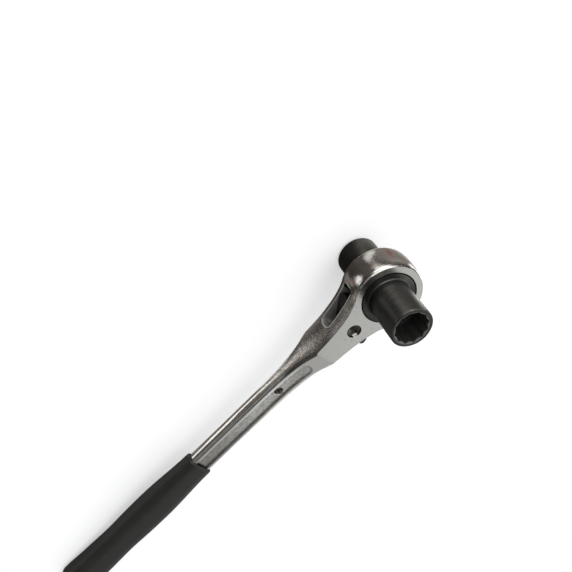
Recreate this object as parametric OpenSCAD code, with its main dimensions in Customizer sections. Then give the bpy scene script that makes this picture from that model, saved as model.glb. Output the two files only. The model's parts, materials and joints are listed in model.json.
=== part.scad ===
// Crank bolt wrench: a reversible ratchet with a double-ended twelve-point
// socket, a rocking pawl and a forged handle in a moulded grip.
// The origin is on the socket's axis at the middle of the forged head.
// +Z points out of the larger socket and +X runs along the handle.

/* [Forged head] */
// Thickness of the head between its two ground faces
head_t = 16.7; // [15.6:0.1:18.4]
// Radius of the ground face of the ring
ring_r = 17.2; // [16.9:0.1:18.6]
// How far the ring's side swells beyond the edge of its ground faces
side_swell = 1; // [0.6:0.1:1.6]
// Distance from the socket's axis to the end of the ground neck
neck_end = 43; // [41:0.5:47]
// Length over which the neck's rounded sides narrow to the handle
flare_len = 20; // [17:0.5:23]

/* [Handle] */
// Width of the handle's flat face
face_w = 9.6; // [9.2:0.1:11]
// Thickness of the handle
handle_t = 6.2; // [5.8:0.1:7.5]
// How far the handle's rounded sides stand beyond its flat face
side_round = 1.15; // [0.8:0.05:1.5]
// Length over which the head thins to the handle
ramp_len = 8; // [6.5:0.5:9.5]
// Distance from the socket's axis to the end of the forging
forging_end = 214; // [190:1:220]
// Start of the sunk panel in each face
panel_x = 50.5; // [49:0.5:56]
// Width of the sunk panel
panel_w = 7; // [6:0.1:7.6]
// Depth of the sunk panel
panel_d = 0.9; // [0.4:0.1:1.2]
// Distance from the socket's axis to the cross hole
hang_x = 71; // [66:0.5:90]
// Diameter of the cross hole
hang_d = 4.4; // [3:0.1:5]

/* [Grip] */
// Distance from the socket's axis to the mouth of the grip
grip_x = 127; // [118:0.5:140]
// Distance from the socket's axis to the end of the grip
grip_end = 226; // [224:1:240]
// Wall of the grip over the handle's sides
grip_wall = 1.4; // [1.3:0.1:3]
// How much the grip swells from its mouth to the palm
palm_swell = 1.3; // [0.6:0.1:2.5]

/* [Double socket] */
// Outer diameter of both sockets
socket_d = 20.9; // [20.4:0.1:21.9]
// Width across flats of the near socket
near_af = 15; // [13:0.5:15.5]
// Width across flats of the far socket
far_af = 14; // [12:0.5:15]
// How far the near socket stands out of the head
near_len = 23.8; // [18:0.1:28]
// How far the far socket stands out of the head
far_len = 20.8; // [17:0.1:28]
// Depth of each twelve-point hole
point_depth = 13; // [10:0.5:14.5]
// Diameter of the hole that joins the two sockets
through_d = 11; // [8:0.5:11.5]
// Clearance added to each width across flats
point_play = 0.1; // [0.05:0.01:0.2]

/* [Ratchet] */
// Number of ratchet teeth
teeth = 36; // [24:12:36]
// Radius over the ratchet teeth
tooth_r = 13.6; // [13.3:0.05:13.7]
// Depth of the ratchet teeth
tooth_h = 1.2; // [0.9:0.05:1.3]
// Width of the ratchet teeth along the axis
tooth_w = 9.4; // [8.8:0.1:10]
// Step from the tips of the teeth up to the near bearing
near_step = 0.44; // [0.35:0.01:0.5]
// Step from the roots of the teeth up to the far bearing
far_step = 0.14; // [0.05:0.01:0.3]
// Running clearance of turning fits, on the radius
run_c = 0.07; // [0.04:0.01:0.09]
// Wire diameter of the retaining ring
snap_wire = 1.1; // [0.9:0.05:1.2]

/* [Pawl] */
// Distance from the tips of the teeth to the axis of the pawl's pin
pivot_gap = 9.2; // [9:0.1:9.6]
// Rocking angle of the pawl each side of its middle
rock = 23.8; // [21:0.1:25]
// Height of the slot that the pawl works in
slot_h = 7.6; // [7:0.1:8]
// Side play of the pawl in its slot, on each face
slot_play = 0.25; // [0.15:0.05:0.4]
// Length of the slot from the pin towards the socket
slot_front = 13.5; // [13:0.1:13.9]
// Length of the slot from the pin towards the handle
slot_back = 8.2; // [7.2:0.1:10]
// Radius of the slot's corners at the handle's end
slot_round = 2.6; // [1.5:0.1:3]
// Distance from the pin to the centre of a thumb tab's tip
tab_reach = 13.3; // [12.6:0.1:13.8]
// Radius of a thumb tab's tip
tab_r = 1.7; // [1.4:0.1:2]
// Distance from the pin to the pawl's two back flats
flat_d = 4.75; // [4.6:0.05:5]
// Diameter of the pin's shank
pin_d = 5.5; // [5:0.1:5.8]
// Diameter of the pin's heads
pin_head_d = 7.1; // [6.6:0.1:7.4]
// Depth of the pin's heads below the ground faces
pin_sink = 0.8; // [0.3:0.1:1.2]

/* [Detent] */
// Diameter of the plunger
plunger_d = 4.6; // [4:0.1:5]
// Length of the plunger
plunger_len = 7.8; // [7:0.1:9]
// Depth of the plunger's bore in the neck
plunger_bore = 16.5; // [15:0.5:18]
// Wire diameter of the spring
spring_wire = 0.55; // [0.45:0.05:0.65]
// Number of turns of the spring
spring_turns = 9; // [7:1:11]

/* [Hidden] */

$fn = 96;
EPS = 0.01;
FAR = 60;

half_t = head_t / 2;
half_h = handle_t / 2;
face_half = face_w / 2;

// The forging is an oval bar, and grinding takes this much off the head's faces
grind = 0.3;

// How full a rounded side stands at the height u, from 0 in the middle to 1
function fullness(u) = pow(1 - pow(min(1, abs(u)), 2.5), 0.4);

// The ring's side before it is ground, and how far it bulges from there
ring_bulge = side_swell / (1 - fullness(half_t / (half_t + grind)));
ring_base = ring_r + side_swell - ring_bulge;

// The neck's flats and its rounded sides leave the ring here
flare_x = 10;
flat_y = sqrt(ring_base * ring_base - flare_x * flare_x) - 0.1;
round_y = sqrt(pow(ring_r + side_swell, 2) - flare_x * flare_x) - 0.1;
flat_flare = 0.48 * flare_len;

// The thinning starts a little before the fold where the ground face ends
ramp_ease = 5;
fold_drop = ramp_len * ln((half_t + grind - half_h) / (half_t - half_h));
ramp_x = neck_end - (fold_drop + sqrt(fold_drop * (fold_drop + 4 * ramp_ease))) / 2;

// Turned steps of the socket and the matching steps of the ring
tooth_top = 4.1;
tooth_bottom = tooth_top - tooth_w;
lip_play = 0.1;
face_sink = 0.1;
near_bearing_r = tooth_r + near_step;
far_bearing_r = tooth_r - tooth_h + far_step;
bore_r = near_bearing_r + run_c;
far_bore_r = far_bearing_r + run_c;
socket_r = socket_d / 2;
rim_chamfer = 0.7;
base_fillet = 0.8;

// The retaining ring sits half in the bore and half in its groove
snap_z = half_t - 0.35 - snap_wire / 2 - 0.05;
snap_r = near_bearing_r - 0.6 + snap_wire / 2;
groove_r = snap_r + snap_wire / 2 + 0.1;
rebate_r = snap_r - snap_wire / 2 - 0.08;

// The pawl's pin and slot keep their places behind the teeth
pivot_x = tooth_r + pivot_gap;
slot_x0 = pivot_x - slot_front;
slot_x1 = pivot_x + slot_back;

// The pawl's two thumb tabs lean a little towards the ring
tab_lean = 12.2;
tab_x = -tab_reach * sin(tab_lean);
tab_y = tab_reach * cos(tab_lean);
slot_nose = 1.5;
pawl_t = slot_h - 2 * slot_play;
pawl_hole_r = pin_d / 2 + run_c;
mesh_c = 0.1;
ridge_r = flat_d + 0.2;

// The plunger's face clears the pawl's back ridge
plunger_x = pivot_x + ridge_r + 0.05;
plunger_r = plunger_d / 2;
bore_end = slot_x1 + plunger_bore;
cup_wall = 0.5;
cup_x = plunger_x + 2.4;
spring_r = plunger_r - cup_wall - 0.1 - spring_wire / 2;
spring_x0 = cup_x + spring_wire / 2 + 0.02;
spring_x1 = bore_end - spring_wire / 2 - 0.02;

pin_head_t = 1;
hang_chamfer = 0.2;

grip_c = 0.02;

// Half width of the flat face, and of the rounded sides, at x along the handle
function flat_w(x) =
    face_half + (flat_y - face_half) * exp(-(x - flare_x) / flat_flare);
handle_mid = face_half + side_round;
function round_w(x) =
    handle_mid + (round_y - handle_mid) * exp(-(x - flare_x) / flare_len);

// Half thickness of the forging at x, before and after grinding
function forged_h(x) =
    let (v = max(0, x - ramp_x))
    half_h + (half_t + grind - half_h) * exp(-v * v / (v + ramp_ease) / ramp_len);
function half_thick(x) = min(half_t, forged_h(x));

// One cross-section of the forging: flat faces and rounded sides, grown by c.
// Its points lie closest together where the side turns into the face.
SIDE_STEPS = 14;
function section(x, flat, full, forged, ground, c) =
    let (right = [for (i = [0:SIDE_STEPS])
                  let (z = ground * cos(180 * i / SIDE_STEPS))
                  [x, flat + (full - flat) * fullness(z / forged) + c,
                   z * (ground + c) / ground]])
    concat(right, [for (i = [SIDE_STEPS:-1:0]) [x, -right[i][1], right[i][2]]]);

// Joins equal cross-sections into one closed solid
module loft(rings) {
    m = len(rings[0]);
    n = len(rings);
    first = [for (j = [m - 1:-1:0]) j];
    last = [for (j = [0:m - 1]) (n - 1) * m + j];
    sides = [for (i = [0:n - 2]) for (j = [0:m - 1])
             let (a = i * m + j, b = i * m + (j + 1) % m)
             each [[a, b, b + m], [a, b + m, a + m]]];
    polyhedron(points = [for (ring = rings) each ring],
               faces = concat([first], sides, [last]));
}

// Stations along the forging, closest together about the fold
ramp_end = neck_end + 4.5 * ramp_len;
neck_xs = [for (i = [0:13]) flare_x - 1 + i * (ramp_x - flare_x + 1) / 14];
fold_xs = [for (i = [0:3]) ramp_x + i * (neck_end - ramp_x) / 4];
ramp_xs = [for (i = [0:15]) neck_end + (ramp_end - neck_end) * pow(i / 16, 1.3)];
handle_xs = [for (i = [0:5]) ramp_end + i * (forging_end - ramp_end) / 5];
function forging_ring(x, c) =
    section(x, flat_w(x), round_w(x), forged_h(x), half_thick(x), c);

// The ring's side is rounded like the neck's
module ring_blank() {
    side = [for (p = section(0, ring_base, ring_base + ring_bulge, half_t + grind, half_t, 0))
            if (p[1] > 0) [p[1], p[2]]];
    rotate_extrude() polygon(concat([[0, half_t]], side, [[0, -half_t]]));
}

// A slot outline with round ends, open to cut through a wall
module round_slot(x0, x1, h, r0, r1) {
    translate([x0, -h / 2 + r0]) square([x1 - x0 - r1, h - 2 * r0]);
    translate([x0 + r0, -h / 2]) square([x1 - x0 - r0 - r1, h]);
    translate([x0 + r0, -h / 2 + r1]) square([x1 - x0 - r0, h - 2 * r1]);
    for (s = [-1, 1]) {
        translate([x0 + r0, s * (h / 2 - r0)]) circle(r = r0);
        translate([x1 - r1, s * (h / 2 - r1)]) circle(r = r1);
    }
}

// The sunk panel follows the face, so its floor is cut by a side profile
module panel_cut() {
    panel_end = grip_x + 14;
    floor_xs = [for (i = [0:16])
                panel_x - 1 + max(1, ramp_end - panel_x) * pow(i / 16, 1.5)];
    floor_line = [for (x = floor_xs)
                  [x, half_thick(x) - panel_d * (1 - 0.7 * exp(-(x - panel_x) / 5))]];
    intersection() {
        translate([0, panel_w, 0]) rotate([90, 0, 0]) linear_extrude(2 * panel_w)
            polygon(concat(floor_line, [[panel_end + 1, half_h - panel_d],
                                        [panel_end + 1, FAR], [panel_x - 1, FAR]]));
        linear_extrude(FAR - 1) {
            translate([panel_x + panel_w / 2, -panel_w / 2])
                square([panel_end - panel_x - panel_w / 2, panel_w]);
            translate([panel_x + panel_w / 2, 0]) circle(d = panel_w);
        }
    }
}

module wrench_body() {
    lip_top = tooth_bottom - lip_play;
    head_seat = half_t - pin_sink - pin_head_t;
    color("gainsboro") difference() {
        union() {
            ring_blank();
            loft([for (x = concat(neck_xs, fold_xs, ramp_xs, handle_xs)) forging_ring(x, 0)]);
        }
        // Stepped bore for the socket, with the retaining ring's groove
        translate([0, 0, lip_top]) cylinder(r = bore_r, h = FAR);
        translate([0, 0, -FAR]) cylinder(r = far_bore_r, h = 2 * FAR);
        translate([0, 0, snap_z - snap_wire / 2 - 0.05])
            cylinder(r = groove_r, h = snap_wire + 0.1);
        // Slot through the neck for the pawl
        translate([0, FAR, 0]) rotate([90, 0, 0]) linear_extrude(2 * FAR)
            round_slot(slot_x0, slot_x1, slot_h, slot_nose, slot_round);
        // Pin hole with a sunk seat for each head
        translate([pivot_x, 0, -FAR]) cylinder(d = pin_d, h = 2 * FAR);
        for (s = [0, 1]) mirror([0, 0, s])
            translate([pivot_x, 0, head_seat]) cylinder(d = pin_head_d + 0.2, h = FAR);
        // Blind bore for the plunger and its spring
        translate([pivot_x, 0, 0]) rotate([0, 90, 0])
            cylinder(r = plunger_r + run_c, h = bore_end - pivot_x);
        // Cross hole and the sunk panel of each face
        translate([hang_x, 0, -FAR]) cylinder(d = hang_d, h = 2 * FAR);
        for (s = [0, 1]) mirror([0, 0, s]) {
            panel_cut();
            translate([hang_x, 0, half_thick(hang_x) - panel_d - hang_chamfer])
                cylinder(d1 = hang_d, d2 = hang_d + 4 * hang_chamfer, h = 2 * hang_chamfer);
        }
    }
}

// Ratchet tooth flanks from tooth a to tooth b, with tooth 0 on the X axis
function tooth_points(a, b) =
    let (pitch = 360 / teeth, root_r = tooth_r - tooth_h)
    [for (i = [a:b]) each [for (p = [[root_r, -0.38], [tooth_r, -0.12],
                                     [tooth_r, 0.12], [root_r, 0.38]])
                           let (t = (i + p[1]) * pitch) p[0] * [cos(t), sin(t)]]];

// Twelve-point opening: two hexagons a twelfth of a turn apart
module twelve_point(af) {
    for (a = [0, 30]) rotate(a) circle(d = (af + point_play) / cos(30), $fn = 6);
}

// One socket opening, cut downwards from the height of its end face
module socket_hole(af, top) {
    corner_r = af / 2 / cos(30);
    translate([0, 0, top - point_depth]) linear_extrude(point_depth + 1)
        twelve_point(af);
    translate([0, 0, top - 1.1])
        cylinder(r1 = af / 2, r2 = corner_r + 0.35, h = 1.1 + EPS);
}

module double_socket() {
    near_end = half_t + near_len;
    far_end = half_t + far_len;
    face_z = half_t - face_sink;
    core_r = tooth_r - tooth_h - 0.3;
    rebate_z = snap_z - snap_wire / 2 - 0.05;
    near_fillet = [for (a = [0:15:90])
                   [socket_r + base_fillet * (1 - sin(a)),
                    face_z + base_fillet * (1 - cos(a))]];
    far_fillet = [for (i = [6:-1:0]) [near_fillet[i][0], -near_fillet[i][1]]];
    color("dimgray") difference() {
        union() {
            rotate_extrude() polygon(concat(
                [[0, -far_end], [socket_r - rim_chamfer, -far_end],
                 [socket_r, -far_end + rim_chamfer]],
                far_fillet,
                [[far_bearing_r - 0.3, -face_z], [far_bearing_r, -face_z + 0.3],
                 [far_bearing_r, tooth_bottom], [core_r, tooth_bottom],
                 [core_r, tooth_top], [near_bearing_r, tooth_top],
                 [near_bearing_r, rebate_z], [rebate_r, rebate_z],
                 [rebate_r, face_z]],
                near_fillet,
                [[socket_r, near_end - rim_chamfer],
                 [socket_r - rim_chamfer, near_end], [0, near_end]]));
            translate([0, 0, tooth_bottom]) linear_extrude(tooth_w + EPS)
                polygon(tooth_points(0, teeth - 1));
        }
        socket_hole(near_af, near_end);
        mirror([0, 0, 1]) socket_hole(far_af, far_end);
        translate([0, 0, -FAR]) cylinder(d = through_d, h = 2 * FAR);
    }
}

module retaining_ring() {
    color("black") rotate([0, 0, 97]) translate([0, 0, snap_z])
        rotate_extrude(angle = 346) translate([snap_r, 0]) circle(d = snap_wire, $fn = 24);
}

// The pawl in its middle position, seen along its pin
module pawl_2d() {
    shoulder = [-0.52 * tab_reach, 0.72 * tab_reach];
    ridge = flat_d / cos(rock);
    reach = 1.5 * tab_reach;
    back = [ridge - reach * sin(rock), reach * cos(rock)];
    difference() {
        intersection() {
            hull() {
                circle(r = flat_d, $fn = 32);
                for (s = [-1, 1]) {
                    translate([tab_x, s * tab_y]) circle(r = tab_r, $fn = 32);
                    translate([shoulder[0], s * shoulder[1]]) circle(r = 1.2, $fn = 32);
                }
            }
            polygon([[ridge, 0], back, [-FAR, back[1]], [-FAR, -back[1]],
                     [back[0], -back[1]]]);
            translate([ridge_r - FAR, -FAR / 2]) square(FAR);
        }
        // Room for the wheel's teeth at every angle that the pawl rocks through
        for (a = [-rock:rock / 12:rock + EPS])
            rotate(a) translate([-pivot_x, 0]) offset(delta = mesh_c)
                polygon(concat([[0, 0]], tooth_points(-4, 4)));
    }
}

module pawl() {
    color("darkslategray") translate([pivot_x, 0, 0]) rotate([0, 0, -rock])
        difference() {
            translate([0, 0, -pawl_t / 2]) linear_extrude(pawl_t) pawl_2d();
            translate([0, 0, -FAR / 2]) cylinder(r = pawl_hole_r, h = FAR);
        }
}

module pivot_pin() {
    top = half_t - pin_sink;
    head_r = pin_head_d / 2;
    half = [[pin_d / 2, top - pin_head_t], [head_r, top - pin_head_t],
            [head_r, top - 0.3], [head_r - 0.3, top], [0.73 * head_r, top],
            [0, top - 1.3]];
    color("gray") translate([pivot_x, 0, 0]) rotate_extrude()
        polygon(concat(half, [for (i = [len(half) - 1:-1:0]) [half[i][0], -half[i][1]]]));
}

module plunger() {
    color("silver") translate([plunger_x, 0, 0]) rotate([0, 90, 0]) difference() {
        union() {
            cylinder(r1 = plunger_r - 0.3, r2 = plunger_r, h = 0.3);
            translate([0, 0, 0.3]) cylinder(r = plunger_r, h = plunger_len - 0.3);
        }
        translate([0, 0, cup_x - plunger_x]) cylinder(r = plunger_r - cup_wall, h = FAR);
    }
}

// Round wire swept along a helix about the plunger's axis
module detent_spring() {
    sides = 8;
    steps = 14;
    n = spring_turns * steps;
    pitch = (spring_x1 - spring_x0) / spring_turns;
    lead = atan(pitch / (360 / (180 / PI) * spring_r));
    points = [for (i = [0:n]) let (a = 360 * i / steps, x = spring_x0 + pitch * i / steps)
              for (j = [0:sides - 1]) let (b = 360 * j / sides,
                  u = spring_wire / 2 * cos(b), v = spring_wire / 2 * sin(b))
              [x + v * cos(lead),
               (spring_r + u) * cos(a) + v * sin(lead) * sin(a),
               (spring_r + u) * sin(a) - v * sin(lead) * cos(a)]];
    color("silver") loft([for (i = [0:n]) [for (j = [0:sides - 1]) points[i * sides + j]]]);
}

// Half width and half thickness of the grip at x
grip_w0 = handle_mid + grip_wall;
grip_h0 = half_h + grip_wall;
function grip_swell(x) =
    let (u = (x - grip_x) / (grip_end - grip_x))
    palm_swell * (0.5 - 0.5 * cos(180 * min(1, u / 0.35)))
    - 0.35 * palm_swell * exp(-pow((u - 0.62) / 0.12, 2))
    + 0.35 * palm_swell * exp(-pow((u - 0.93) / 0.07, 2));
function grip_ring(x, inset) =
    let (a = grip_w0 + grip_swell(x) - inset, b = grip_h0 + 0.75 * grip_swell(x) - inset)
    [for (i = [0:35]) let (t = -10 * i)
     [x, a * sign(cos(t)) * sqrt(abs(cos(t))), b * sign(sin(t)) * sqrt(abs(sin(t)))]];

module grip() {
    lip = 0.9;
    nose = 4.5;
    mouth = [for (i = [0:3]) let (t = 30 * i)
             grip_ring(grip_x + lip * (1 - cos(t)), lip * (1 - sin(t)))];
    middle = [for (i = [1:18]) grip_ring(grip_x + lip + i * (grip_end - grip_x - lip - nose) / 19, 0)];
    tail = [for (i = [0:5]) let (t = 17 * i)
            grip_ring(grip_end - nose + nose * sin(t) / sin(85), nose * (1 - cos(t)))];
    inside = concat([grip_x - 1], [for (i = [0:8]) grip_x + i * (forging_end - grip_x) / 8],
                    [forging_end + 0.1]);
    color("black") difference() {
        loft(concat(mouth, middle, tail));
        loft([for (x = inside) forging_ring(x, grip_c)]);
    }
}

wrench_body();
double_socket();
retaining_ring();
pawl();
pivot_pin();
plunger();
detent_spring();
grip();
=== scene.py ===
"""Crank bolt wrench: the finish of every piece, a pale floor, studio light and the camera."""
import json
import math

import bpy
import numpy as np
from mathutils import Matrix, Vector


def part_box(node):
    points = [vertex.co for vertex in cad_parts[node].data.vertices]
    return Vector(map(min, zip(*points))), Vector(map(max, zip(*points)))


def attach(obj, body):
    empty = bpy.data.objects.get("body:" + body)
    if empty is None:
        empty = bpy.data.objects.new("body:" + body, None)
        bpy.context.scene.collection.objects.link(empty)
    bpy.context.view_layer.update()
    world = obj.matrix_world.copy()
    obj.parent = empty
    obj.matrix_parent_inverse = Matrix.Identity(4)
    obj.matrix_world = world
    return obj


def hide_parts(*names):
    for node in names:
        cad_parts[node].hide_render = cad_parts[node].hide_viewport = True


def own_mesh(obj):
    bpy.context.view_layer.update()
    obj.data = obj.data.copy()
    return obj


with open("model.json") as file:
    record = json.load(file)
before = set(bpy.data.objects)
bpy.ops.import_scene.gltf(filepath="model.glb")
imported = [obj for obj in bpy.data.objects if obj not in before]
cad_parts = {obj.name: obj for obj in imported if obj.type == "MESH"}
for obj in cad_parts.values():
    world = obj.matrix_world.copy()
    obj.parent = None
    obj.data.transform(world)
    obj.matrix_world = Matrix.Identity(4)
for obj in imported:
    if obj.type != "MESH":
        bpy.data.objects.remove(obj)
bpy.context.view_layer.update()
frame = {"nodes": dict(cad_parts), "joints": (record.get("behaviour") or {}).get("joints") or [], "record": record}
NODES = frame["nodes"]
MM = 0.001

# Sizes of the wrench in millimetres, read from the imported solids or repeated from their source
HEAD_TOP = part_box("wrench_body")[1].z / MM
NEAR_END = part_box("double_socket")[1].z / MM
FAR_END = -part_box("double_socket")[0].z / MM
PIVOT_X = (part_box("pivot_pin")[0].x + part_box("pivot_pin")[1].x) / 2 / MM
GRIP_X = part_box("grip")[0].x / MM
SOCKET_R = 10.45
RIM_CHAMFER = 0.7
FOLD_X = 43                 # where the ground head face ends at the slope to the handle
PANEL_X = 50.5              # where the sunk panel starts with its round end
PANEL_HALF = 3.5
SLOT_X = PIVOT_X - 2.65     # the middle of the pawl's slot in the side of the head
SLOT_HALF_X = 10.85
SLOT_HALF_Z = 3.8
SLOT_ROUND = 2.6
HOLE_X = 71                 # the cross hole through the handle
HOLE_R = 2.2

# Colours of the finishes, of painted shade, painted reflections and painted highlights, and of the light, two
# where a surface wanders between them
FORGED = (0.58, 0.565, 0.54), (0.74, 0.73, 0.71)
BLASTED = (0.42, 0.395, 0.37), (1.0, 0.985, 0.965)
GROUND = (0.49, 0.495, 0.48), (0.57, 0.575, 0.56)
GROUND_PAINTED_SHADE_BY_FOLD = (0.42, 0.42, 0.41)
HANDLE_FACE = (0.70, 0.70, 0.68)
PITS = (0.18, 0.17, 0.15)
SATIN = (0.42, 0.425, 0.41), (0.70, 0.70, 0.68)
SATIN_PAINTED_DARK_REFLECTION_BY_GRIP = (0.25, 0.24, 0.22)
HOLE_WALL_PAINTED_SHADE = (0.16, 0.15, 0.14)
FOLD_EDGE_DARK_REFLECTION = (0.13, 0.125, 0.115)
# painted highlight round the slot's lip
SLOT_LIP_PAINTED_HIGHLIGHT = (0.85, 0.84, 0.81)
SLOT_SHADE_AND_END_HIGHLIGHT = (0.26, 0.25, 0.235), (0.80, 0.79, 0.76)
OXIDE = (0.036, 0.037, 0.034), (0.072, 0.072, 0.068)
# painted sheen down one side of the sockets
OXIDE_PAINTED_SHEEN = (0.125, 0.125, 0.118)
# pale wear on the sockets' rims and mouths, in the mouths also a painted highlight
OXIDE_WEAR_AND_HIGHLIGHT = (0.32, 0.31, 0.29)
PIN_DARK = (0.012, 0.012, 0.011), (0.13, 0.125, 0.118)
# painted highlight on the pin head's rim
PIN_PAINTED_GLINT = (0.90, 0.89, 0.86)
DRAWN_WIRE = (0.02, 0.02, 0.02), (0.06, 0.06, 0.058)
TURNED = (0.5, 0.5, 0.49), (0.66, 0.66, 0.65)
MOULDED = (0.009, 0.0095, 0.0085), (0.019, 0.019, 0.0175)
# pale wear at the grip's mouth, also a painted highlight along its lip
MOULDED_MOUTH_WEAR_AND_HIGHLIGHT = (0.07, 0.07, 0.068)
BENCH_TINT = (1.0, 0.92, 0.83), (1.0, 0.55, 0.48)
LAMP_WHITE = (1.0, 0.99, 0.97)


# Camera

def place_camera():
    """Puts the camera at the photograph's viewing angle, given in the wrench's own frame."""
    place = Vector((-46.09, -264.96, 275.93)) * MM
    right = Vector((-0.69633, 0.63661, 0.33151)).normalized()
    look = Vector((0.20080, 0.61624, -0.76155)).normalized()
    right = (right - look * right.dot(look)).normalized()
    up = right.cross(look)
    focal_px = 812.4
    image_px = 572
    data = bpy.data.cameras.new("camera")
    data.sensor_width = 36
    data.lens = focal_px / image_px * data.sensor_width
    data.clip_start = 0.01
    data.clip_end = 20
    camera = bpy.data.objects.new("camera", data)
    camera.matrix_world = Matrix((
        (right.x, up.x, -look.x, place.x),
        (right.y, up.y, -look.y, place.y),
        (right.z, up.z, -look.z, place.z),
        (0, 0, 0, 1)))
    bpy.context.scene.collection.objects.link(camera)
    bpy.context.scene.camera = camera


# Node maths

class Wire:
    """An output in a node tree, so that shader maths reads as plain expressions."""

    def __init__(self, nodes, socket):
        self.nodes = nodes
        self.socket = socket

    def math(self, operation, *values):
        """One Math node that works on the values in their order."""
        return self.nodes.add("Math", {"operation": operation}, dict(enumerate(values)))

    def __add__(self, other): return self.math("ADD", self, other)
    def __radd__(self, other): return self.math("ADD", other, self)
    def __sub__(self, other): return self.math("SUBTRACT", self, other)
    def __rsub__(self, other): return self.math("SUBTRACT", other, self)
    def __mul__(self, other): return self.math("MULTIPLY", self, other)
    def __rmul__(self, other): return self.math("MULTIPLY", other, self)
    def __truediv__(self, other): return self.math("DIVIDE", self, other)
    def __rtruediv__(self, other): return self.math("DIVIDE", other, self)
    def __pow__(self, other): return self.math("POWER", self, other)
    def __rpow__(self, other): return self.math("POWER", other, self)
    def __abs__(self): return self.math("ABSOLUTE", self)
    def most(self, other): return self.math("MAXIMUM", self, other)


class Nodes:
    """A node tree built from nothing, with one method that adds any node."""

    def __init__(self, tree):
        self.tree = tree
        tree.nodes.clear()

    def add(self, kind, settings=None, inputs=None, out=0):
        """Adds a node: its settings come first, then the values or links of its sockets.

        The answer is the output that out names or counts, or None for a node without one.
        """
        node = self.tree.nodes.new("ShaderNode" + kind)
        for name, value in (settings or {}).items():
            setattr(node, name, value)
        for name, value in (inputs or {}).items():
            if isinstance(value, Wire):
                self.tree.links.new(value.socket, node.inputs[name])
            else:
                node.inputs[name].default_value = value
        return Wire(self, node.outputs[out]) if node.outputs else None

    def place(self):
        """The point's place in the wrench's frame in millimetres: the vector, then x, y, z."""
        spot = self.scale(self.add("TexCoord", out="Object"), 1 / MM)
        return (spot,) + self.split(spot)

    def facing(self):
        """The surface's direction in the wrench's frame, as x, y and z."""
        return self.split(self.add("TexCoord", out="Normal"))

    def split(self, vector):
        """The three values of a vector."""
        values = self.add("SeparateXYZ", inputs={0: vector}).socket.node.outputs
        return tuple(Wire(self, value) for value in values)

    def join(self, x, y, z):
        """A vector of three values."""
        return self.add("CombineXYZ", inputs={0: x, 1: y, 2: z})

    def scale(self, vector, factor):
        """A vector or a colour times a value."""
        return self.add("VectorMath", {"operation": "SCALE"}, {0: vector, 3: factor})

    def noise(self, vector, size, detail=3, roughness=0.55):
        """Noise from 0 to 1 whose lumps are about size across, in the vector's units."""
        return self.add("TexNoise", inputs={"Vector": vector, "Scale": 1 / size,
                                            "Detail": detail, "Roughness": roughness})

    def band(self, value, low, high):
        """Rises smoothly from 0 to 1 as value goes from low to high."""
        return self.add("MapRange", {"interpolation_type": "SMOOTHSTEP"},
                        {"Value": value, "From Min": low, "From Max": high})

    def blend(self, factor, first, second):
        """Mixes two colours, each a plain triple or a colour wire."""
        first, second = (c if isinstance(c, Wire) else c + (1,) for c in (first, second))
        return self.add("Mix", {"data_type": "RGBA"}, {0: factor, 6: first, 7: second}, out=2)

    def layers(self, colour, *over):
        """A colour with others laid over it in turn, each as far as its own mask says."""
        for mask, layer in over:
            colour = self.blend(mask, colour, layer)
        return colour

    def bump(self, height, depth=1.0):
        """A normal from a height whose unit stands depth millimetres tall."""
        return self.add("Bump", inputs={"Distance": depth * MM, "Height": height})


def make_material(name, build):
    """A material from a function that adds its nodes and returns its shader."""
    material = bpy.data.materials.new(name)
    material.use_nodes = True
    nodes = Nodes(material.node_tree)
    nodes.add("OutputMaterial", inputs={"Surface": build(nodes)})
    return material


# Finishes

def panel_edge(x, y):
    """How far a point lies outside the sunk panel's outline, in millimetres."""
    past_end = (PANEL_X + PANEL_HALF - x).most(0)
    return (past_end * past_end + y * y) ** 0.5 - PANEL_HALF


def slot_edge(x, z):
    """How far a point of the head's side lies outside the pawl's slot, in millimetres."""
    along = (abs(x - SLOT_X) - (SLOT_HALF_X - SLOT_ROUND)).most(0)
    across = (abs(z) - (SLOT_HALF_Z - SLOT_ROUND)).most(0)
    return (along * along + across * across) ** 0.5 - SLOT_ROUND


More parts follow.
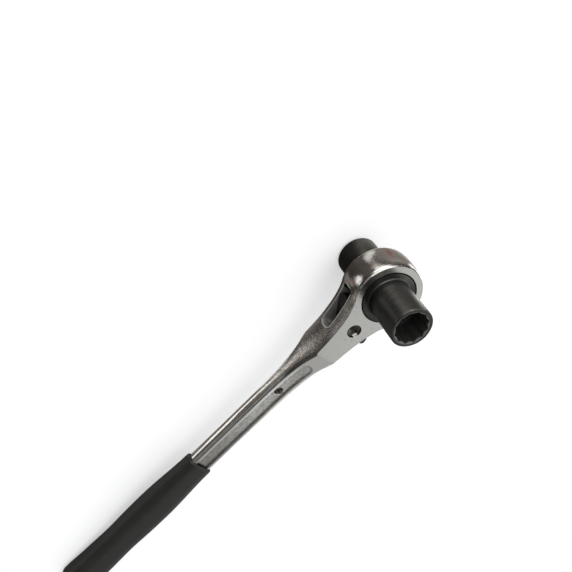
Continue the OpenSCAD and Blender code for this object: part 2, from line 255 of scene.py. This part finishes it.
def plated_steel(nodes):
    """Bright plating over a blasted forging, with ground head faces and a satin panel."""
    spot, x, y, z = nodes.place()
    _, ny, nz = nodes.facing()

    # Where the level faces are: the ground ones of the head, and those of the handle
    ground = nodes.band(abs(z), HEAD_TOP - 0.06, HEAD_TOP - 0.02)
    upright = nodes.band(abs(ny), 0.16, 0.07) * nodes.band(abs(nz), 0.85, 0.92)
    handle_face = upright * nodes.band(x, FOLD_X - 1.2, FOLD_X - 0.2) * (1 - ground)
    level = ground + handle_face
    from_panel = panel_edge(x, y)
    panel = handle_face * nodes.band(from_panel, 0.06, -0.06)
    # painted reflection: the neck's rounded edge on the -Y side is darkened to a dark line
    painted_edge_reflection = (nodes.band(abs(nz), 0.22, 0.5) * (1 - level) * nodes.band(x, 27, 36)
                 * nodes.band(x, 66, 58) * nodes.band(ny, 0.1, -0.1))

    # Where the sides, the slot and the cross hole are
    side = nodes.band(abs(nz), 0.75, 0.45)
    blasted = nodes.band(x, 14, 27) * nodes.band(x, 80, 56) * side
    smooth = nodes.band(x, 60, 80)
    from_slot = slot_edge(x, z)
    # painted highlight: a pale, less metallic band just round the slot's lip
    slot_lip_highlight = (nodes.band(from_slot, 0.55, 0.2) * nodes.band(from_slot, -0.3, -0.1)
                 * nodes.band(abs(ny), 0.5, 0.7) * side)
    in_slot = nodes.band(from_slot, 0.15, 0.02) * (1 - slot_lip_highlight) * (1 - level)
    from_hole = ((x - HOLE_X) * (x - HOLE_X) + y * y) ** 0.5
    # painted shade: the cross hole's wall is given a dark colour
    in_hole = (nodes.band(from_hole, HOLE_R + 0.12, HOLE_R + 0.04)
               * nodes.band(abs(nz), 0.5, 0.2) * nodes.band(abs(z), 1.7, 0.9))

    grain = nodes.noise(spot, 0.30, 3, 0.7)
    blast = nodes.noise(spot, 0.60, 2, 0.6)
    peel = nodes.noise(spot, 2.6, 3, 0.55)
    clouds = nodes.noise(spot, 6.0, 4, 0.6)
    blotches = nodes.noise(spot, 1.5, 3, 0.6)
    flecks = nodes.band(nodes.noise(spot, 0.62, 2, 0.6), 0.36, 0.64)
    pits = nodes.band(nodes.noise(spot, 1.1, 2, 0.5), 0.69, 0.74)

    forged = nodes.blend(nodes.band(clouds, 0.35, 0.68), *FORGED)
    forged = nodes.blend(0.12 + 0.70 * blasted, forged, nodes.blend(flecks, *BLASTED))
    faces = nodes.layers(nodes.blend(nodes.band(grain, 0.3, 0.7), *GROUND),
                         # painted shade: the ground face darkens over its last 3 mm before the fold
                         (nodes.band(x, FOLD_X - 3, FOLD_X) * 0.5 * ground, GROUND_PAINTED_SHADE_BY_FOLD),
                         (handle_face * nodes.band(x, 95, 70), HANDLE_FACE),
                         (pits * 0.8, PITS))
    satin = nodes.blend(nodes.band(0.4 * grain + 0.6 * blotches, 0.38, 0.62), *SATIN)
    # painted reflection: the satin panel darkens towards the grip
    satin = nodes.blend(nodes.band(x, 84, 124) * 0.45, satin, SATIN_PAINTED_DARK_REFLECTION_BY_GRIP)
    # painted shade on the slot's walls, lifting to a painted highlight on the end wall
    slot_shade_and_highlight = nodes.blend(nodes.band(x, 27.5, 31), *SLOT_SHADE_AND_END_HIGHLIGHT)
    colour = nodes.layers(forged, (level, faces), (panel, satin), (in_hole, HOLE_WALL_PAINTED_SHADE),
                          (painted_edge_reflection * 0.9, FOLD_EDGE_DARK_REFLECTION), (slot_lip_highlight, SLOT_LIP_PAINTED_HIGHLIGHT),
                          (in_slot, slot_shade_and_highlight))

    rough = 0.10 + 0.06 * clouds - 0.06 * smooth
    rough = rough + level * (0.22 + 0.06 * grain - rough)
    rough = rough + panel * (0.31 - rough)

    # Heights in millimetres: lips that are rounded by the bump, and the skin's own texture
    slot_lip = nodes.band(from_slot, 0.0, 0.55) * 0.14 * side
    panel_lip = (nodes.band(from_panel, 0.0, 0.4) * 0.10
                 + nodes.band(from_panel, -0.55, -0.05) * 0.16)
    skin = peel * (0.10 - 0.06 * smooth) + blast * (0.016 + 0.09 * blasted) + slot_lip
    height = skin * (1 - level) + (grain * 0.010 + panel_lip) * level
    return nodes.add("BsdfPrincipled", inputs={
        "Base Color": colour, "Metallic": 1.0 - 0.6 * slot_lip_highlight - 0.6 * in_slot,
        "Roughness": rough, "Normal": nodes.bump(height)})


def black_steel(nodes):
    """Black oxide over fine turning marks, worn pale along the sockets' rims and mouths, the mouths' pallor partly
    a painted highlight, with a painted sheen down one side of each socket.
    """
    spot, x, y, z = nodes.place()
    radius = (x * x + y * y) ** 0.5
    rings = nodes.noise(nodes.join(radius * 0.15, z * 3.2, radius * 2.5), 1.0, 3, 0.6)
    streaks = nodes.noise(nodes.join(x * 0.13, y * 0.13, z * 2.2), 1.0, 4, 0.65)
    specks = nodes.noise(spot, 0.5, 4, 0.7)
    wall = nodes.band(radius, SOCKET_R - 0.4, SOCKET_R - 0.2)
    inside = nodes.band(radius, SOCKET_R - 1.2, SOCKET_R - 1.8) * nodes.band(abs(z), 9, 11)
    rim = nodes.band(abs(z), NEAR_END - 1.3, NEAR_END - 0.2) * (1 - inside)
    worn = rim * wall * nodes.band(nodes.noise(spot, 3.2, 3), 0.50, 0.64)
    # the mouth's pale band is partly wear, partly a painted highlight on its chamfer
    mouth = nodes.band(abs(z), NEAR_END - 1.2, NEAR_END - 0.5) * nodes.band(radius, 9.0, 8.6)
    # painted sheen: the socket wall is paler on the side facing -X and -Y, streaked with the turning marks
    painted_sheen = (nodes.band(x * -0.72 - y * 0.69, 1.5, 9.5) * wall
              * (0.45 + 0.55 * nodes.band(streaks, 0.40, 0.70)))
    colour = nodes.layers(nodes.blend(nodes.band(specks, 0.35, 0.75), *OXIDE),
                          (painted_sheen, OXIDE_PAINTED_SHEEN), ((worn * 0.6).most(mouth * 0.5), OXIDE_WEAR_AND_HIGHLIGHT))
    return nodes.add("BsdfPrincipled", inputs={
        "Base Color": colour, "Metallic": 0.9 - 0.45 * inside,
        "Roughness": 0.24 + 0.26 * streaks - 0.06 * worn + 0.2 * inside,
        "Normal": nodes.bump(rings * 0.010 + streaks * 0.007 + specks * 0.005)})


def pin_steel(nodes):
    """Dark turned steel, with rings round the pin's own axis and a painted highlight crescent on its rim."""
    spot, x, y, z = nodes.place()
    along = x - PIVOT_X
    radius = (along * along + y * y) ** 0.5
    rings = nodes.noise(nodes.join(radius, radius * 0.3, z), 0.35, 3)
    specks = nodes.noise(spot, 0.6, 3)
    # painted highlight: a pale crescent on the +Y side of the pin head's rim
    painted_glint = (nodes.band(along * 0.47 + y * 0.88, 2.0, 2.6)
             * nodes.band(abs(along * 0.88 - y * 0.47), 1.6, 0.8))
    colour = nodes.layers(nodes.blend(specks, *PIN_DARK), (painted_glint, PIN_PAINTED_GLINT))
    return nodes.add("BsdfPrincipled", inputs={
        "Base Color": colour, "Metallic": 1.0, "Roughness": 0.13 + 0.16 * rings,
        "Normal": nodes.bump(rings, 0.05)})


def spring_wire(nodes):
    """Dark drawn wire."""
    specks = nodes.noise(nodes.place()[0], 0.5, 3)
    return nodes.add("BsdfPrincipled", inputs={
        "Base Color": nodes.blend(specks, *DRAWN_WIRE), "Metallic": 0.9,
        "Roughness": 0.3 + 0.15 * specks})


def bright_steel(nodes):
    """Bright turned steel."""
    _, x, y, z = nodes.place()
    rings = nodes.noise(nodes.join(x * 3, y * 0.2, z * 0.2), 0.7, 3)
    return nodes.add("BsdfPrincipled", inputs={
        "Base Color": nodes.blend(rings, *TURNED), "Metallic": 1.0,
        "Roughness": 0.2 + 0.15 * rings})


def grip_plastic(nodes):
    """Black moulded plastic with a soft sheen and a fine grain, rubbed pale at its mouth, where the pallor is
    partly a painted highlight along the lip.
    """
    spot, x, _, _ = nodes.place()
    grain = nodes.noise(spot, 0.7, 4, 0.6)
    patches = nodes.noise(spot, 9, 3)
    # the mouth's pale patches are partly wear, partly a painted highlight along the lip
    mouth = nodes.band(x, GRIP_X + 1.0, GRIP_X + 0.3) * nodes.band(patches, 0.40, 0.58)
    colour = nodes.layers(nodes.blend(patches, *MOULDED), (mouth, MOULDED_MOUTH_WEAR_AND_HIGHLIGHT))
    return nodes.add("BsdfPrincipled", inputs={
        "Base Color": colour, "Metallic": 0.0,
        "Roughness": 0.36 + 0.16 * grain + 0.08 * patches - 0.15 * mouth,
        "Normal": nodes.bump(grain, 0.03)})


def dress_nodes():
    """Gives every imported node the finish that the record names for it."""
    finishes = (plated_steel, black_steel, pin_steel, spring_wire, bright_steel, grip_plastic)
    made = {finish.__name__: make_material(finish.__name__, finish) for finish in finishes}
    for part in frame["record"]["subparts"]:
        materials = NODES[part["node"]].data.materials
        materials.clear()
        materials.append(made[part["material_slot"]])


def shortening_spring():
    """The dressed detent spring as a copy of its own, carried on the wrench's body in place of the imported one.
    """
    low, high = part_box("detent_spring")
    travel = next(j for j in frame["joints"] if j["name"] == "plunger_slide")["range_m"][1]
    coil = bpy.data.objects.new("pressed_spring", NODES["detent_spring"].data.copy())
    bpy.context.scene.collection.objects.link(coil)
    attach(coil, "wrench")
    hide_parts("detent_spring")
    1 - travel / (high.x - low.x)
    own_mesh(coil)


# Floor, and the bench that the steel mirrors

FLOOR_HALF = 9.0            # metres
BENCH_HALF = 0.54
FLOOR_DROP = 0.05           # millimetres below what the wrench lies on
BENCH_DROP = 0.04
FLOOR_LIFT = 0.46           # how far the camera sees the floor lifted to white, near and far
FLOOR_LIFT_FAR = 0.85
BENCH_DIM = 0.05
BENCH_CORNER = 1.6
BENCH_STRIPE = 0.9
# Centre, half widths and strength of each dim patch and each light, in millimetres
BENCH_PATCHES = [((-50, 0), (34, 38), 0.16), ((-34, 22), (14, 20), 0.20),
                 ((-80, 0), (18, 42), 0.12), ((-42, -58), (14, 13), 0.34),
                 ((15, -23), (8, 7), 0.16), ((33, -14), (15, 6), 0.12),
                 ((62, -42), (26, 20), 0.10), ((110, -82), (52, 30), 0.15),
                 ((88, -48), (40, 9), 0.08), ((20, -35), (7, 6), 0.20)]
BENCH_LIGHTS = [((-64, 46), (24, 15), 1.2), ((-42, 55), (11, 11), 3.6),
                ((-22, 6), (7, 26), 0.55), ((-29, -30), (9, 14), 0.60),
                ((14, -56), (12, 13), 1.05), ((60, -31), (16, 5), 0.85),
                ((64, -7), (13, 7), 0.7), ((38, -1), (14, 5), 0.5)]
BENCH_REDS = [((-54, -5), (12, 6)), ((17, -37), (6, 5)), ((-31, -46), (7, 6))]


def rest_plane():
    """The plane that the wrench lies on: the far socket's rim and the grip's belly."""
    grip = np.array([v.co for v in NODES["grip"].data.vertices])
    touch = Vector((SOCKET_R - RIM_CHAMFER, 0, -FAR_END)) * MM
    slopes = (grip[:, 2] - touch.z) / (grip[:, 0] - touch.x)
    return touch, math.atan(slopes.min())


def lay_sheet(name, half, drop, material):
    """A flat square, half metres to each side, drop millimetres under the wrench as it lies."""
    touch, tilt = rest_plane()
    mesh = bpy.data.meshes.new(name)
    mesh.from_pydata([(-half, -half, 0), (half, -half, 0), (half, half, 0), (-half, half, 0)],
                     [], [(0, 1, 2, 3)])
    mesh.materials.append(material)
    sheet = bpy.data.objects.new(name, mesh)
    sheet.matrix_world = (Matrix.Translation(touch - Vector((0, 0, drop * MM)))
                          @ Matrix.Rotation(-tilt, 4, "Y"))
    bpy.context.scene.collection.objects.link(sheet)
    return sheet


def pale_floor(nodes):
    """Pale matt board, lifted to white where the camera sees it unshaded."""
    _, x, y, _ = nodes.place()
    far_off = nodes.band((x * x + y * y) ** 0.5, 300, 1500)
    lift = FLOOR_LIFT + (FLOOR_LIFT_FAR - FLOOR_LIFT) * far_off
    seen = nodes.add("LightPath", out="Is Camera Ray")
    board = nodes.add("BsdfDiffuse", inputs={"Color": (0.86, 0.86, 0.86, 1)})
    glow = nodes.add("Emission", inputs={"Color": nodes.scale((1, 1, 1), seen * lift)})
    return nodes.add("AddShader", inputs={0: board, 1: glow})


def soft_oval(nodes, x, y, centre, half):
    """A soft oval patch, 1 inside and 0 outside."""
    away = (((x - centre[0]) / half[0]) ** 2 + ((y - centre[1]) / half[1]) ** 2) ** 0.5
    return nodes.band(away, 1.25, 0.6)


def mirrored_bench(nodes):
    """What the steel mirrors from below: a dim brown bench with bright openings."""
    spot, x, y, _ = nodes.place()
    clouds = nodes.noise(spot, 22, 3, 0.6)
    wander = nodes.noise(spot, 9, 3, 0.6)
    wavy_x = x + (wander - 0.5) * 10
    wavy_y = y + (clouds - 0.5) * 12

    dim = BENCH_DIM + BENCH_DIM * nodes.band(x, 5, -15) + BENCH_DIM * nodes.band(x, 32, 50)
    dim = dim * (0.7 + 0.6 * clouds)
    for centre, half, strength in BENCH_PATCHES:
        dim = dim + strength * soft_oval(nodes, wavy_x, wavy_y, centre, half)
    under_handle = nodes.band(y, -18, -14) * nodes.band(y, 2, -4) * nodes.band(x, 55, 70)
    dim = dim + 0.14 * under_handle

    bright = BENCH_CORNER * nodes.band(wavy_x, -36, -66) * nodes.band(wavy_y, -46, -78)
    for centre, half, strength in BENCH_LIGHTS:
        bright = bright + strength * soft_oval(nodes, wavy_x, wavy_y, centre, half)
    middle = -23 - 8 * nodes.band(x, 92, 52)
    stripe = nodes.band(middle - y, 3.4, 1.0) * nodes.band(y - middle, 4.8, 1.6)
    stripe = stripe * nodes.band(x, 58, 70) * (0.5 + BENCH_STRIPE * nodes.band(x, 64, 84))

    red = 0.0
    for centre, half in BENCH_REDS:
        red = red + soft_oval(nodes, x, y, centre, half)
    glow = nodes.add("VectorMath", {"operation": "ADD"},
                     {0: nodes.scale(nodes.blend(red, *BENCH_TINT), dim),
                      1: nodes.scale(LAMP_WHITE, bright + stripe)})
    return nodes.add("Emission", inputs={"Color": glow})


def make_floor():
    """A plain pale floor, and a bench just over it that glossy rays alone can see."""
    floor = lay_sheet("floor", FLOOR_HALF, FLOOR_DROP, make_material("pale_floor", pale_floor))
    bench = lay_sheet("mirrored_bench", BENCH_HALF, BENCH_DROP,
                      make_material("mirrored_bench", mirrored_bench))
    for ray in ("camera", "diffuse", "transmission", "volume_scatter", "shadow"):
        setattr(bench, "visible_" + ray, False)


# Studio light

WORLD_FILL = 0.55
KEY_WATTS = 3.0
KEY_SIZE = 0.6
STUDIO_DIM = 0.035
STUDIO_BACK = 0.77
STUDIO_FRONT = 0.20
STUDIO_LOW_FRONT = 0.14
# Each soft panel's direction, how close to it the panel starts and is full, and its strength
STUDIO_PANELS = [((-0.70, -0.66, 0.27), (0.80, 0.90), 2.2),      # front left
                 ((-0.82, 0.25, 0.5), (0.86, 0.95), 1.0),        # left
                 ((0.80, 0, 0.60), (0.87, 0.95), 0.40),          # right
                 ((-0.24, 0, 0.97), (0.92, 0.975), 0.60),        # overhead
                 ((0, 1, 0), (0.74, 0.90), 0.8)]                 # low behind


def light_world():
    """A white background, and a soft studio for the steel to mirror."""
    world = bpy.data.worlds.new("studio")
    bpy.context.scene.world = world
    world.use_nodes = True
    nodes = Nodes(world.node_tree)
    x, y, z = nodes.split(nodes.add("TexCoord", out="Generated"))
    dip = (0.45 * nodes.band(x, 0.31, 0.41) * nodes.band(x, 0.54, 0.46)
           + 0.10 * nodes.band(x, 0.15, 0.30) + 0.32 * nodes.band(x, 0.46, 0.55))
    back = nodes.band(y, 0.36, 0.62) * (1 - dip)
    front = nodes.band(y, -0.1, -0.7) * nodes.band(z, 0.05, 0.5)
    low_front = nodes.band(y, -0.75, -0.88) * nodes.band(x, 0.12, 0.30)
    strength = (STUDIO_DIM + STUDIO_BACK * back + STUDIO_FRONT * front
                + STUDIO_LOW_FRONT * low_front)
    for (to_x, to_y, to_z), soft_edge, level in STUDIO_PANELS:
        closeness = x * to_x + y * to_y + z * to_z
        strength = strength + level * nodes.band(closeness, *soft_edge)

    mirrored = nodes.add("Background", inputs={"Color": nodes.scale(LAMP_WHITE, strength)})
    fill = nodes.add("Background", inputs={"Color": (0.97, 0.98, 1.0, 1),
                                           "Strength": WORLD_FILL})
    white = nodes.add("Background", inputs={"Color": (1, 1, 1, 1), "Strength": 1.0})
    glossy_ray = nodes.add("LightPath", out="Is Glossy Ray")
    camera_ray = nodes.add("LightPath", out="Is Camera Ray")
    mixed = nodes.add("MixShader", inputs={0: glossy_ray, 1: fill, 2: mirrored})
    mixed = nodes.add("MixShader", inputs={0: camera_ray, 1: mixed, 2: white})
    nodes.add("OutputWorld", inputs={"Surface": mixed})


def hang_key_lamp():
    """One soft lamp over the front left, which the steel doesn't mirror."""
    data = bpy.data.lights.new("key_lamp", "AREA")
    data.size = KEY_SIZE
    data.energy = KEY_WATTS
    lamp = bpy.data.objects.new("key_lamp", data)
    lamp.location = (-0.55, -0.35, 0.9)
    aim = Vector((0.05, 0, 0)) - lamp.location
    lamp.rotation_euler = aim.to_track_quat("-Z", "Y").to_euler()
    lamp.visible_glossy = False
    bpy.context.scene.collection.objects.link(lamp)


bpy.context.scene.view_settings.view_transform = "Standard"
place_camera()
dress_nodes()
shortening_spring()
make_floor()
light_world()
hang_key_lamp()
